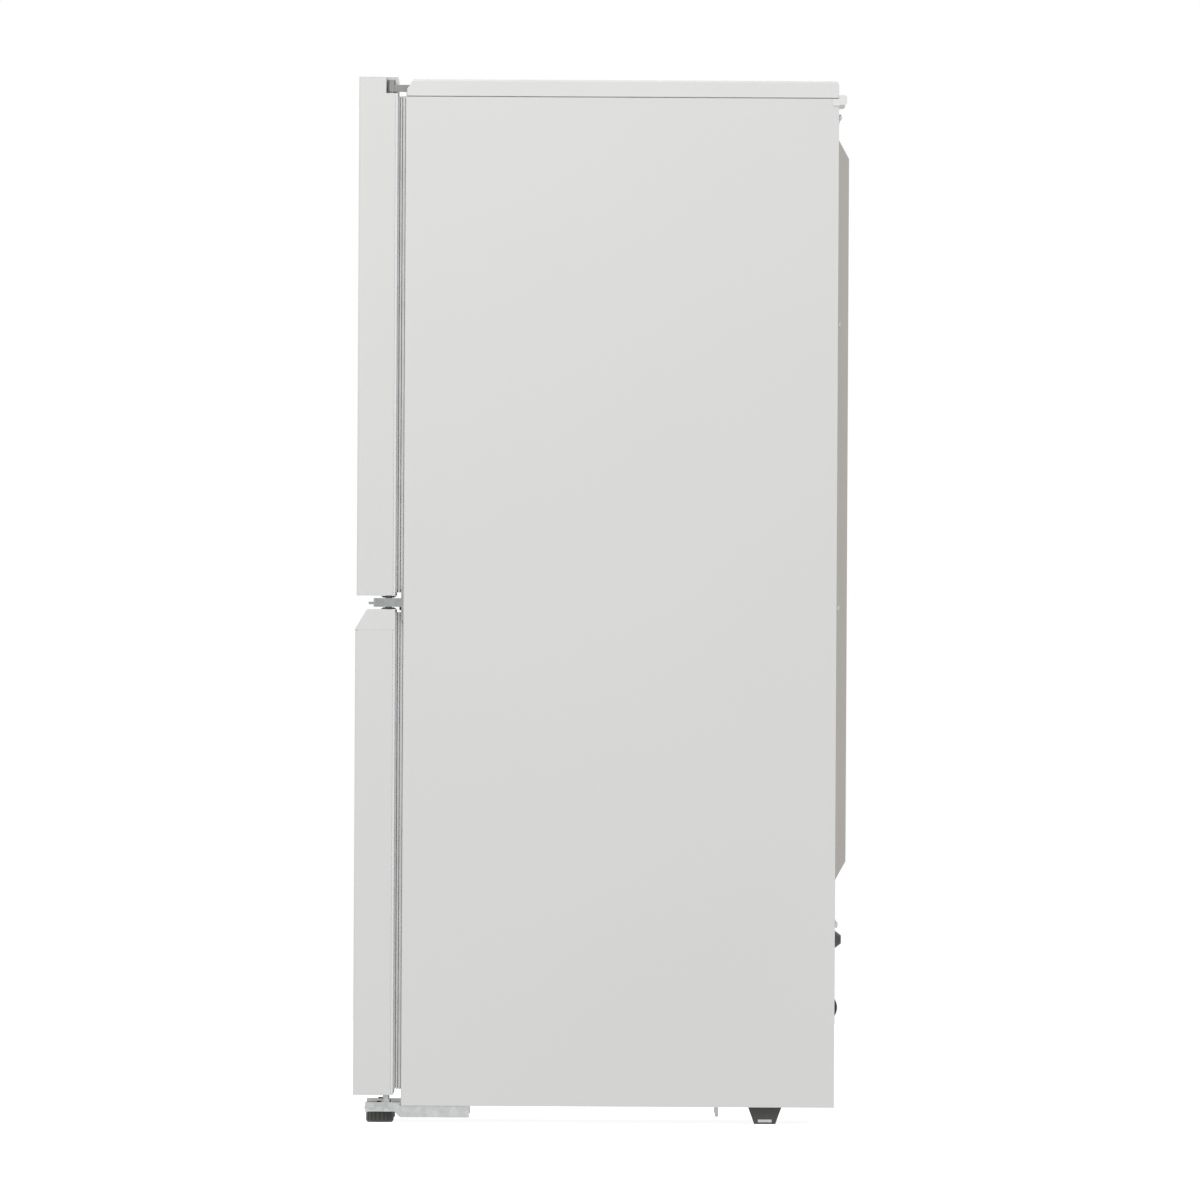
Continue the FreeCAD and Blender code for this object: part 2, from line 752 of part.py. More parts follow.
def bottom_bracket(piece, side):
    """A galvanised strap under the cabinet that reaches forward under the door's corner."""
    strap = (d.body_base - 3, d.body_base)
    shelf = (d.body_base + 1, d.body_base + 4)
    rear, step, front = d.body_front + 82, d.body_front - 1, d.body_front - 43.7
    edge = d.half_width - 1
    across = on_side(side, d.half_width - 50, edge)
    flange = [(rear, 6), (rear, d.body_base), (step, d.body_base), (step, shelf[1]),
              (front + 5, shelf[1]), (front + 1.4, shelf[1] - 2), (front, shelf[1] - 6),
              (front + 1.6, shelf[0] - 9), (front + 6, 12.8), (front + 36, 12.8), (front + 43, 6)]
    piece.profile("X", flange, on_side(side, edge - 3, edge))
    piece.box(across, (step - 2, rear), strap)
    piece.box(across, (step - 2, step), (strap[0], shelf[1]))
    piece.box(across, (front + 1, step), shelf)
    piece.rod("Z", front_foot_spot(side), (shelf[0] - 1, shelf[1] + 1), 4.05, cut=True)


def bottom_screws():
    return [(side * offset, d.body_front + depth) for side in (-1, 1)
            for offset, depth in ((235, 20), (215, 58))]


def bottom_hinge():
    """Lower hinge strap with its upright pin, and the plain strap at the other corner."""
    piece = Piece("bottom_hinge")
    for side in (-1, 1):
        bottom_bracket(piece, side)
    shelf = d.body_base + 4
    piece.rod("Z", (d.axis_side, d.axis_front), (shelf - 3, shelf + 4), 6)
    piece.rod("Z", (d.axis_side, d.axis_front), (shelf, shelf + 26), d.pin)
    for spot in bottom_screws():
        piece.rod("Z", spot, (d.body_base - 4, d.body_base + 1), 2.4, cut=True)
    return piece


def front_foot(label, side):
    """Screw-in levelling foot: a ribbed disc under a threaded stem."""
    piece = Piece(label)
    spot = front_foot_spot(side)
    piece.cone("Z", spot, (0, 2.5), 14.5, 16.5)
    piece.rod("Z", spot, (2.5, 12.5), 16.5)
    piece.rod("Z", spot, (12.5, 25.6), 4)
    for step in range(20):
        turn = 2 * math.pi * step / 20
        x = spot[0] + 16.6 * math.cos(turn)
        y = spot[1] + 16.6 * math.sin(turn)
        piece.rod("Z", (x, y), (2, 13), 1, cut=True)
    return piece


def rear_feet():
    """Two fixed feet under the machine bay, narrower at the floor."""
    piece = Piece("rear_feet")
    middle = 199.5
    for side in (-1, 1):
        outline = [(middle - 12.7, 0), (middle + 12.7, 0), (middle + 20, d.body_base),
                   (middle - 20, d.body_base)]
        piece.profile("X", outline, on_side(side, 209, 241))
        piece.box(on_side(side, 240, 242), (middle - 8.5, middle + 8.5), (2, 5.6), cut=True)
    return piece


def screws():
    """All the screws of the hinges, spacers, rear panel and base, a solid each."""
    piece = Piece("screws")
    shank = 2.1
    roof = d.body_roof + 3
    for spot in top_screws():
        piece.rod("Z", spot, (roof - 14, roof), shank)
        piece.rod("Z", spot, (roof, roof + 2.4), 4)
    face = d.body_front - 2.5
    for spot in middle_screws():
        piece.rod("Y", spot, (face, face + 16), shank)
        piece.rod("Y", spot, (face - 2.2, face), 4)
    strap = d.body_base - 3
    for spot in bottom_screws():
        piece.rod("Z", spot, (strap, strap + 14), shank)
        piece.rod("Z", spot, (strap - 2.4, strap), 4)
    for spot in ((-225, 141.5), (225, 141.5)):
        piece.rod("Z", spot, (8.5, d.body_base + 8), 1.8)
    for spot in rear_screws():
        piece.rod("Y", spot, (d.body_rear - 12, d.body_rear), 1.7)
        piece.rod("Y", spot, (d.body_rear, d.body_rear + 2.4), 3.6)
    return piece


def rear_screws():
    return [(side * (d.half_width - 6), level) for side in (-1, 1)
            for level in (1208.5, 960, 620, 240)]


def rear_spacers():
    """Two rounded clips that wrap the rear top corners and keep the cabinet off the wall."""
    piece = Piece("rear_spacers")
    outer = d.half_width + 1.2
    for side in (-1, 1):
        piece.box(on_side(side, d.half_width - 18, outer), (d.body_rear, d.body_rear + 9.5),
                  (d.body_roof - 7.5, d.body_roof + 4.5))
        piece.box(on_side(side, d.half_width, outer), (d.body_rear - 7.5, d.body_rear + 1),
                  (d.body_roof - 8.5, d.body_roof - 0.2))
    piece.soften(3.5, lambda at, along, length: runs(along, "x") and length > 15
                 and near(at.y, d.body_rear + 9.5))
    return piece


# ---------------------------------------------------------------- doors

class Door:
    """The sizes that one door's pieces share."""

    def __init__(self, name, front, low, high, dyke, seal):
        self.name = name
        self.front = front
        self.low = low
        self.high = high
        self.dyke = dyke
        self.seal = seal

    def inside(self, gap=0.1):
        """How far the filling may reach sideways and forward inside the steel skin."""
        return between(inner_half - gap), self.front + d.steel + gap


upper = Door("upper_door", d.upper_front, d.upper_low, d.upper_high, (664, 1172), (636, 1231.5))
lower = Door("lower_door", d.lower_front, d.lower_low, d.lower_high, (80, 586), (40, 612))
liner_edge = 3
rim = 1.5
hinge_side = (d.axis_side - 13, d.half_width + 1)
notch = (hinge_side, (d.axis_front - 6, d.door_rear + 1), (d.upper_high - 19.5, d.upper_high + 1))
slope_low = d.lower_high - 24.6


def at_front_corner(door_front):
    return lambda at, along, length: (runs(along, "z") and near(abs(at.x), d.half_width)
                                      and near(at.y, door_front))


def skin(door, low, high):
    """Steel sheet folded round the front and both sides of a door."""
    piece = Piece(f"{door.name}_skin")
    piece.box(between(d.half_width), (door.front, d.door_rear - liner_edge), (low, high))
    piece.box(between(inner_half), (door.front + d.steel, d.door_rear), (low - 1, high + 1), cut=True)
    piece.soften(4.2, lambda at, along, length: runs(along, "z") and near(abs(at.x), inner_half)
                 and near(at.y, door.front + d.steel))
    piece.soften(5, at_front_corner(door.front))
    return piece


def upper_door_skin():
    piece = skin(upper, upper.low + rim, upper.high - rim)
    piece.box(*notch, cut=True)
    return piece


def lower_door_skin():
    return skin(lower, lower.low + rim, slope_low)


def door_liner(door, low, high):
    """Moulded inner panel: a flat rim, and a raised wall round a recess that holds the bins."""
    piece = Piece(f"{door.name}_liner")
    pan = 8
    piece.box(between(d.half_width - 0.4), (d.door_rear - liner_edge, d.door_rear), (low, high))
    bottom, top = door.dyke
    piece.box(between(d.dyke_half), (d.recess_front - d.liner, d.dyke_rear), (bottom, top))
    piece.soften(d.cavity_round, lambda at, along, length: runs(along, "y") and length > 30
                 and near(abs(at.x), d.dyke_half))
    piece.box(between(d.dyke_half - pan), (d.recess_front, d.dyke_rear + 1),
              (bottom + pan, top - pan), cut=True)
    piece.soften(6, lambda at, along, length: runs(along, "y") and length > 30
                 and near(abs(at.x), d.dyke_half - pan))
    return piece


def clear_bushes(piece, door):
    """A shallow groove up the back of a liner's rim, beside the hinge bushes."""
    piece.rod("Z", (d.axis_side, d.axis_front), (door.low, door.high), 6.7, cut=True)


def upper_door_liner():
    piece = door_liner(upper, upper.low + rim, upper.high - rim)
    piece.box(*notch, cut=True)
    clear_bushes(piece, upper)
    return piece


def lower_door_liner():
    piece = door_liner(lower, lower.low + rim, slope_low)
    clear_bushes(piece, lower)
    return piece


def filling(door, low, high):
    """Insulation inside a door, cut round its liner's recess and its two hinge bosses."""
    piece = Piece(f"{door.name}_foam")
    across, front = door.inside(0.2)
    piece.box(across, (front, d.door_rear - liner_edge - 0.1), (low, high))
    piece.soften(4, lambda at, along, length: runs(along, "z") and near(at.y, front))
    bottom, top = door.dyke
    piece.box(between(d.dyke_half + 0.1), (d.recess_front - d.liner - 0.1, d.door_rear),
              (bottom - 0.1, top + 0.1), cut=True)
    for end in ((low - 1, low + 20), (high - 30, high + 1)):
        piece.box((hinge_side[0] - 3, hinge_side[1]), (d.axis_front - 14, d.door_rear), end, cut=True)
    return piece


def upper_door_foam():
    return filling(upper, upper.low + d.cap + 0.1, upper.high - d.cap - 0.1)


def lower_door_foam():
    return filling(lower, lower.low + d.cap + 0.1, slope_low - d.cap - 0.1)


def ring(piece, half, leg, depth, tall):
    """A rectangular frame of four legs."""
    low, high = tall
    for side in (-1, 1):
        piece.box(on_side(side, half - leg, half), depth, tall)
    piece.box(between(half), depth, (low, low + leg))
    piece.box(between(half), depth, (high - leg, high))


def gasket(door):
    """Magnetic seal: a base, a bellows and a head, parted by two grooves round the outside."""
    piece = Piece(f"{door.name}_gasket")
    low, high = door.seal
    grooves = (d.door_rear + 2.4, d.door_rear + 5.4)
    leg = d.gasket_leg
    ring(piece, d.gasket_half, leg, (d.door_rear, gasket_rear), (low, high))
    for start in grooves:
        cutter = (start, start + 0.8)
        depth = 4
        span = (low - 1, high + 1)
        for side in (-1, 1):
            piece.box(on_side(side, d.gasket_half - depth, d.gasket_half + 1), cutter, span, cut=True)
        for edge in ((low - 1, low + depth), (high - depth, high + 1)):
            piece.box(between(d.gasket_half + 1), cutter, edge, cut=True)
    return piece


def upper_door_gasket():
    return gasket(upper)


def lower_door_gasket():
    return gasket(lower)


def end_rim(piece, door, span):
    """The thin edge of an end cap that covers the steel skin's end."""
    piece.box(between(d.half_width), (door.front, d.door_rear), span)
    piece.soften(5, at_front_corner(door.front))


def plug(piece, door, span):
    """The part of an end cap that fits inside the steel skin."""
    across, front = door.inside()
    piece.box(across, (front, d.door_rear - liner_edge - 0.1), span)
    piece.soften(4, lambda at, along, length: runs(along, "z") and near(at.y, front))


def boss(piece, span):
    """Solid block round a hinge bush."""
    piece.box((hinge_side[0] - 2, inner_half - 0.1),
              (d.axis_front - 13, d.door_rear - liner_edge - 0.1), span)


def bush_seat(piece, span):
    """The bore that a hinge bush is pressed into."""
    piece.rod("Z", (d.axis_side, d.axis_front), span, 6.5, cut=True)


def upper_door_top_cap():
    """Plastic end cap, cut away at the hinge corner so that the bracket's arm can swing in it."""
    piece = Piece("upper_door_top_cap")
    plug(piece, upper, (upper.high - d.cap, upper.high - rim))
    end_rim(piece, upper, (upper.high - rim, upper.high))
    boss(piece, (upper.high - 48, upper.high - d.cap))
    piece.box(*notch, cut=True)
    bush_seat(piece, (upper.high - 44, upper.high))
    return piece


def upper_door_bottom_cap():
    """Plastic end cap with a finger channel along the door's lower edge."""
    piece = Piece("upper_door_bottom_cap")
    plug(piece, upper, (upper.low + rim, upper.low + d.cap))
    end_rim(piece, upper, (upper.low, upper.low + rim))
    boss(piece, (upper.low + d.cap, upper.low + 34))
    piece.box((-225, 200), (upper.front + 10, upper.front + 32), (upper.low - 1, upper.low + 18),
              cut=True)
    bush_seat(piece, (upper.low - 1, upper.low + 24))
    return piece


def lower_door_top_cap():
    """Plastic end cap with a sloped front edge and a finger channel behind it."""
    piece = Piece("lower_door_top_cap")
    front = lower.front
    outline = [(front, slope_low), (front, slope_low + 1.2), (front + 14, lower.high),
               (d.door_rear, lower.high), (d.door_rear, slope_low)]
    piece.profile("X", outline, between(d.half_width))
    plug(piece, lower, (slope_low - d.cap, slope_low))
    boss(piece, (slope_low - d.cap - 8, slope_low - d.cap))
    piece.box(between(d.dyke_half + 0.1), (d.recess_front - d.liner - 0.1, d.door_rear - 1),
              (slope_low - d.cap - 1, lower.dyke[1] + 0.1), cut=True)
    piece.box((-225, 200), (front + 17, front + 35), (lower.high - 20, lower.high + 1), cut=True)
    bush_seat(piece, (lower.high - 24, lower.high + 1))
    return piece


def lower_door_bottom_cap():
    piece = Piece("lower_door_bottom_cap")
    plug(piece, lower, (lower.low + rim, lower.low + d.cap))
    end_rim(piece, lower, (lower.low, lower.low + rim))
    bush_seat(piece, (lower.low - 1, lower.low + 21))
    return piece


def bushes(label, spans):
    """The two plastic bushes that a door turns on."""
    piece = Piece(label)
    spot = (d.axis_side, d.axis_front)
    for low, high in spans:
        piece.rod("Z", spot, (low, high), 6.5)
        piece.rod("Z", spot, (low - 1, high + 1), d.pin + d.running, cut=True)
    return piece


def upper_door_bushes():
    return bushes("upper_door_bushes", ((upper.low, upper.low + 24),
                                        (upper.high - 44, upper.high - 19.5)))


def lower_door_bushes():
    return bushes("lower_door_bushes", ((lower.low, lower.low + 21),
                                        (lower.high - 24, lower.high)))


def bins(door, levels):
    """Open bins that hang between the raised walls of a door's liner."""
    piece = Piece(f"{door.name}_bins")
    half = d.dyke_half - 8.4
    front, rear = d.recess_front + 0.4, d.bin_rear
    for low, high in levels:
        piece.box(between(half), (front, rear), (low, high))
        piece.soften(6, lambda at, along, length: runs(along, "z") and at.z > low
                     and near(at.y, rear))
        piece.box(between(half - 2), (front + 2, rear - 2), (low + 2, high + 1), cut=True)
    return piece


def upper_door_bins():
    return bins(upper, ((690, 765), (861, 946), (1030, 1105)))


def lower_door_bins():
    return bins(lower, ((92, 192), (290, 365), (468, 530)))


def egg_tray():
    """A plate with six round holes that stands in the top bin."""
    piece = Piece("egg_tray")
    front, rear, low = d.recess_front + 4, d.bin_rear - 4, 470.2
    piece.box((-152, 152), (front, rear), (low + 26, low + 28))
    for side in (-152, 150):
        piece.box((side, side + 2), (front, rear), (low, low + 26))
    for step in range(6):
        piece.rod("Z", (-125 + step * 50, (front + rear) * 0.5), (low + 25, low + 29), 20, cut=True)
    return piece


# ---------------------------------------------------------------- moving pieces

def drawer(label, low, high, rear):
    """Open box with a thicker front and a hand slot near its top."""
    piece = Piece(label)
    wall = d.drawer_wall
    half = d.drawer_half
    panel = 5
    piece.box(between(half), (d.drawer_front, rear), (low, high))
    piece.soften(10, lambda at, along, length: runs(along, "z"))
    piece.box(between(half - wall), (d.drawer_front + panel, rear - wall), (low + wall, high + 1),
              cut=True)
    piece.box((-52, 52), (d.drawer_front - 1, d.drawer_front + panel + 1), (high - 32, high - 12),
              cut=True)
    return piece


def freezer_drawer_upper():
    return drawer("freezer_drawer_upper", 820.4, 966, 145)


def freezer_drawer_lower():
    return drawer("freezer_drawer_lower", d.freezer_floor + 0.4, 804, 145)


def crisper_drawer():
    return drawer("crisper_drawer", d.fridge_floor + 0.4, 296, d.hump_front - 6)


def temperature_knob():
    """Round knob with a raised pointer and a shaft through the housing's front."""
    piece = Piece("temperature_knob")
    spot = (d.knob_side, d.knob_height)
    face = -125
    piece.rod("Y", spot, (face - 14, face - 0.4), 19)
    piece.box((d.knob_side - 2, d.knob_side + 2), (face - 17, face - 14),
              (d.knob_height - 17, d.knob_height + 17))
    piece.rod("Y", spot, (face - 0.4, face + 7), 3)
    for step in range(16):
        turn = 2 * math.pi * step / 16
        x = d.knob_side + 19.4 * math.cos(turn)
        z = d.knob_height + 19.4 * math.sin(turn)
        piece.rod("Y", (x, z), (face - 15, face), 1.4, cut=True)
    return piece


def damper_slider():
    """Button in the housing's slot that shifts the cold air damper."""
    piece = Piece("damper_slider")
    face = -125
    level = d.knob_height
    piece.box((42, 58), (face - 6, face - 0.4), (level - 7, level + 7))
    piece.box((49, 51), (face - 8, face - 6), (level - 7, level + 7))
    piece.box((42, 58), (face - 0.4, face + 4.6), (level - 1.7, level + 1.7))
    piece.box((42, 58), (face + 2.6, face + 4.6), (level - 5, level + 5))
    return piece


def light_switch():
    """Plunger that the closed door holds in."""
    piece = Piece("light_switch")
    spot = (156, d.fridge_ceiling - 16.4)
    piece.rod("Y", spot, (d.dyke_rear + 0.4, -166), 3)
    return piece


def fan_blade():
    """Hub with five pitched blades on the motor's shaft."""
    piece = Piece("fan_blade")
    middle = FreeCAD.Placement(FreeCAD.Vector(0, 172, d.fan_height.value), FreeCAD.Rotation())
    piece.rod("Y", (0, d.fan_height), (166.5, 178), 9)
    for step in range(5):
        blade = piece.new("Box", False)
        for prop, length in (("Length", 34), ("Width", 1.5), ("Height", 22)):
            bind(blade, prop, length)
        turn = FreeCAD.Placement(FreeCAD.Vector(), FreeCAD.Rotation(FreeCAD.Vector(0, 1, 0), 72 * step))
        pitch = FreeCAD.Placement(FreeCAD.Vector(7, 0, 0), FreeCAD.Rotation(FreeCAD.Vector(1, 0, 0), 50))
        centre = FreeCAD.Placement(FreeCAD.Vector(0, -0.75, -11), FreeCAD.Rotation())
        blade.Placement = middle * turn * pitch * centre
    piece.rod("Y", (0, d.fan_height), (160, 180), 1.55, cut=True)
    return piece


def front_foot_left():
    return front_foot("front_foot_left", -1)


def front_foot_right():
    return front_foot("front_foot_right", 1)


# ---------------------------------------------------------------- build, check and write

CABINET = (cabinet_wrapper, top_cover, back_panel, mullion_bar, front_rail, base_plate,
           compressor_bay_wall, cabinet_foam, freezer_liner, fridge_liner, evaporator_cover,
           evaporator, defrost_heater, fan_motor, drain_tube, control_housing, lamp_cover,
           freezer_shelf, ice_tray, glass_shelf, crisper_cover)
MACHINE = (compressor, compressor_grommets, relay_cover, evaporation_tray, refrigerant_pipes,
           filter_drier, cord_gland)
FITTINGS = (top_hinge, middle_hinge, bottom_hinge, rear_feet, screws, rear_spacers)
UPPER_DOOR = (upper_door_skin, upper_door_liner, upper_door_foam, upper_door_gasket,
              upper_door_top_cap, upper_door_bottom_cap, upper_door_bushes, upper_door_bins)
LOWER_DOOR = (lower_door_skin, lower_door_liner, lower_door_foam, lower_door_gasket,
              lower_door_top_cap, lower_door_bottom_cap, lower_door_bushes, lower_door_bins, egg_tray)
MOVING = (fan_blade, freezer_drawer_upper, freezer_drawer_lower, crisper_drawer, temperature_knob,
          damper_slider, light_switch, front_foot_left, front_foot_right)

pieces = [make() for make in CABINET + MACHINE + FITTINGS + UPPER_DOOR + LOWER_DOOR + MOVING]
doc.recompute()

faults = []
for item in doc.Objects:
    if "Invalid" in item.State or "Error" in item.State:
        owners = [o.Label for o in item.InList if o.TypeId == "PartDesign::Body"]
        faults.append(f"{item.Name} of {owners}: {item.State}")
for made in pieces:
    shape = made.body.Shape
    if shape.isNull() or not shape.isValid() or not shape.Solids:
        faults.append(f"{made.body.Label}: bad shape")
if faults:
    raise RuntimeError("; ".join(faults))

os.makedirs("parts", exist_ok=True)
for made in pieces:
    made.body.Shape.exportStep(f"parts/{made.body.Label}.step")
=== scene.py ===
import json
import math

import bmesh
import bpy
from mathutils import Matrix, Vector


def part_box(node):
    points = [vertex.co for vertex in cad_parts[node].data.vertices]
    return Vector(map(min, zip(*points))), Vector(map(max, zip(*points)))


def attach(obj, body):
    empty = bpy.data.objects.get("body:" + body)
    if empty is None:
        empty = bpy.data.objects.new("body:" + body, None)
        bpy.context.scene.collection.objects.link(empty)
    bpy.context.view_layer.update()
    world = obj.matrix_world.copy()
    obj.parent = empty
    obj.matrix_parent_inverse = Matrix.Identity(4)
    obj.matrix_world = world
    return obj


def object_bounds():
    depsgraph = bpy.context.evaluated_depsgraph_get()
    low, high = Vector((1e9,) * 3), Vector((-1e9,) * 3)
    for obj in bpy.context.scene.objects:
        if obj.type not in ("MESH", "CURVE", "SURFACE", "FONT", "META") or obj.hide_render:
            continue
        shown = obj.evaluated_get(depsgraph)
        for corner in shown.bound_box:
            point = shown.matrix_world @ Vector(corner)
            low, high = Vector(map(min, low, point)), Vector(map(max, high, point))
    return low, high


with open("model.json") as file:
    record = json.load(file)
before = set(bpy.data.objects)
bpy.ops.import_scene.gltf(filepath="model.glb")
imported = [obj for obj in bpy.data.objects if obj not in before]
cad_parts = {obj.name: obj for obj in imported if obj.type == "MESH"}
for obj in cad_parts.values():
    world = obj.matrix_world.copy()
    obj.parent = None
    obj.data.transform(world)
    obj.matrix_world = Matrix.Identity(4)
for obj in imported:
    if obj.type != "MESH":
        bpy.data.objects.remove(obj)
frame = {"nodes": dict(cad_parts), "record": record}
nodes = frame["nodes"]
cad_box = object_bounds()
MM = 0.001
WELD_RADIUS = 70.4 * MM    # the compressor shell's radius, and a little of the bead
WELD_HEIGHT = 68.4 * MM    # above the underside of its base plate


# ---------------------------------------------------------------- material tools

class Shader:
    """A node material built round one Principled shader, in object space and in metres."""

    def __init__(self, name, colour, roughness, metallic=0.0):
        self.material = bpy.data.materials.new(name)
        self.material.use_nodes = True
        self.tree = self.material.node_tree
        self.principled = self.tree.nodes["Principled BSDF"]
        self.set("Base Color", (*colour, 1))
        self.set("Roughness", roughness)
        self.set("Metallic", metallic)
        self.place = self.add("ShaderNodeTexCoord").outputs["Object"]
        self.normal = None

    def add(self, kind, **settings):
        node = self.tree.nodes.new(kind)
        for key, value in settings.items():
            setattr(node, key, value)
        return node

    def set(self, socket, value):
        self.principled.inputs[socket].default_value = value

    def link(self, output, target):
        self.tree.links.new(output, target)

    def noise(self, feature, detail=4.0, stretch=(1, 1, 1)):
        """Noise whose blobs are about feature metres across, squeezed along each axis by stretch."""
        mapping = self.add("ShaderNodeMapping")
        mapping.inputs["Scale"].default_value = stretch
        self.link(self.place, mapping.inputs["Vector"])
        texture = self.add("ShaderNodeTexNoise")
        texture.inputs["Scale"].default_value = 0.5 / feature
        texture.inputs["Detail"].default_value = detail
        self.link(mapping.outputs["Vector"], texture.inputs["Vector"])
        return texture.outputs["Fac"]

    def cells(self, feature):
        """A random grey for each of a set of cells about feature metres across."""
        texture = self.add("ShaderNodeTexVoronoi")
        texture.inputs["Scale"].default_value = 1 / feature
        self.link(self.place, texture.inputs["Vector"])
        grey = self.add("ShaderNodeSeparateColor")
        self.link(texture.outputs["Color"], grey.inputs["Color"])
        return grey.outputs["Red"]

    def spread(self, source, low, high):
        """Stretches a 0 to 1 signal to the range low to high."""
        node = self.add("ShaderNodeMapRange")
        node.inputs["From Min"].default_value = 0.25
        node.inputs["From Max"].default_value = 0.75
        node.inputs["To Min"].default_value = low
        node.inputs["To Max"].default_value = high
        self.link(source, node.inputs["Value"])
        return node.outputs["Result"]

    def vary_roughness(self, source, low, high):
        self.link(self.spread(source, low, high), self.principled.inputs["Roughness"])

    def vary_colour(self, source, first, second, low=0.3, high=0.7):
        ramp = self.add("ShaderNodeValToRGB")
        ramp.color_ramp.elements[0].position = low
        ramp.color_ramp.elements[1].position = high
        ramp.color_ramp.elements[0].color = (*first, 1)
        ramp.color_ramp.elements[1].color = (*second, 1)
        self.link(source, ramp.inputs["Fac"])
        self.link(ramp.outputs["Color"], self.principled.inputs["Base Color"])
        return ramp

    def worn_edges(self, ramp, colour, strength):
        """Mixes a wear colour in where the mesh has sharp outer edges."""
        edge = self.add("ShaderNodeMapRange")
        edge.inputs["From Min"].default_value = 0.52
        edge.inputs["From Max"].default_value = 0.64
        edge.inputs["To Max"].default_value = strength
        self.link(self.add("ShaderNodeNewGeometry").outputs["Pointiness"], edge.inputs["Value"])
        mix = self.add("ShaderNodeMix", data_type="RGBA")
        mix.inputs["B"].default_value = (*colour, 1)
        self.link(edge.outputs["Result"], mix.inputs["Factor"])
        self.link(ramp.outputs["Color"], mix.inputs["A"])
        self.link(mix.outputs["Result"], self.principled.inputs["Base Color"])

    def round_edges(self, radius):
        """Softens how sharp edges catch the light."""
        bevel = self.add("ShaderNodeBevel", samples=4)
        bevel.inputs["Radius"].default_value = radius
        self.normal = bevel.outputs["Normal"]
        self.link(self.normal, self.principled.inputs["Normal"])

    def bump(self, source, height, strength=1.0):
        node = self.add("ShaderNodeBump")
        node.inputs["Distance"].default_value = height
        node.inputs["Strength"].default_value = strength
        self.link(source, node.inputs["Height"])
        if self.normal:
            self.link(self.normal, node.inputs["Normal"])
        self.normal = node.outputs["Normal"]
        self.link(self.normal, self.principled.inputs["Normal"])


def shade(colour, factor):
    return tuple(min(1.0, channel * factor) for channel in colour)


# ---------------------------------------------------------------- materials

def enamel(name, colour):
    """Baked paint on sheet steel: faint orange peel and slow changes of gloss."""
    m = Shader(name, colour, 0.3)
    ramp = m.vary_colour(m.noise(0.25, 2), shade(colour, 0.985), shade(colour, 1.01))
    m.worn_edges(ramp, shade(colour, 0.93), 0.35)
    m.vary_roughness(m.noise(0.3, 2), 0.32, 0.38)
    m.set("Coat Weight", 0.25)
    m.set("Coat Roughness", 0.12)
    m.round_edges(0.4 * MM)
    m.bump(m.noise(1.6 * MM, 1.5), 0.05 * MM, 0.25)
    return m.material


def moulded(name, colour, roughness=0.42, grain=0.7, metal=0.0):
    """Injection-moulded plastic with a spark-eroded grain."""
    m = Shader(name, colour, roughness, metal)
    ramp = m.vary_colour(m.noise(0.08, 3), shade(colour, 0.97), shade(colour, 1.02))
    m.worn_edges(ramp, shade(colour, 1.12), 0.25)
    m.vary_roughness(m.noise(9 * MM), roughness - 0.05, roughness + 0.08)
    m.round_edges(0.6 * MM)
    m.bump(m.noise(grain * MM, 3), 0.04 * MM, 0.4)
    return m.material


def lining(name, colour):
    """Vacuum-formed glossy lining, with the slow waviness of formed sheet."""
    m = Shader(name, colour, 0.22)
    ramp = m.vary_colour(m.noise(0.15, 2), shade(colour, 0.98), shade(colour, 1.01))
    m.worn_edges(ramp, shade(colour, 0.95), 0.3)
    m.vary_roughness(m.noise(0.03), 0.18, 0.28)
    m.set("Subsurface Weight", 0.05)
    m.round_edges(1.2 * MM)
    m.bump(m.noise(35 * MM, 1), 0.35 * MM, 0.18)
    return m.material


def zinc(name, colour):
    """Hot-dipped steel: spangled crystals, brushed streaks and dull patches."""
    m = Shader(name, colour, 0.4, 0.9)
    ramp = m.vary_colour(m.cells(5 * MM), shade(colour, 0.82), shade(colour, 1.12), 0.0, 1.0)
    m.worn_edges(ramp, shade(colour, 1.25), 0.5)
    m.vary_roughness(m.noise(8 * MM, 6), 0.26, 0.52)
    m.round_edges(0.5 * MM)
    m.bump(m.noise(1.2 * MM, 5, (1, 0.2, 1)), 0.06 * MM, 0.4)
    return m.material


def enamelled_black(name, colour):
    """Thick sprayed black paint with dust in it."""
    m = Shader(name, colour, 0.35)
    ramp = m.vary_colour(m.noise(14 * MM, 8), colour, shade(colour, 2.4), 0.45, 0.8)
    m.worn_edges(ramp, (0.16, 0.15, 0.14), 0.6)
    m.vary_roughness(m.noise(20 * MM, 6), 0.28, 0.6)
    m.round_edges(1.5 * MM)
    m.bump(m.noise(1.1 * MM, 2), 0.08 * MM, 0.5)
    return m.material


def rubber(name, colour):
    """Soft extruded seal with fine lengthwise lines and a bloom on its surface."""
    m = Shader(name, colour, 0.62)
    ramp = m.vary_colour(m.noise(18 * MM, 5), shade(colour, 0.9), shade(colour, 1.06))
    m.worn_edges(ramp, shade(colour, 0.8), 0.3)
    m.vary_roughness(m.noise(6 * MM), 0.55, 0.75)
    m.set("Sheen Weight", 0.15)
    m.round_edges(0.7 * MM)
    m.bump(m.noise(0.6 * MM, 2, (1, 1, 0.05)), 0.05 * MM, 0.5)
    return m.material


def clear(name, colour, roughness, index, grain=3):
    """Clear or faintly tinted sheet and mouldings, with flow marks and handling haze."""
    m = Shader(name, colour, roughness)
    m.set("Transmission Weight", 0.92)
    m.set("IOR", index)
    m.vary_colour(m.noise(0.05, 3), shade(colour, 0.97), shade(colour, 1.02))
    m.vary_roughness(m.noise(12 * MM, 6), roughness * 0.7, roughness * 1.5)
    m.bump(m.noise(grain * MM, 2), 0.05 * MM, 0.15)
    return m.material


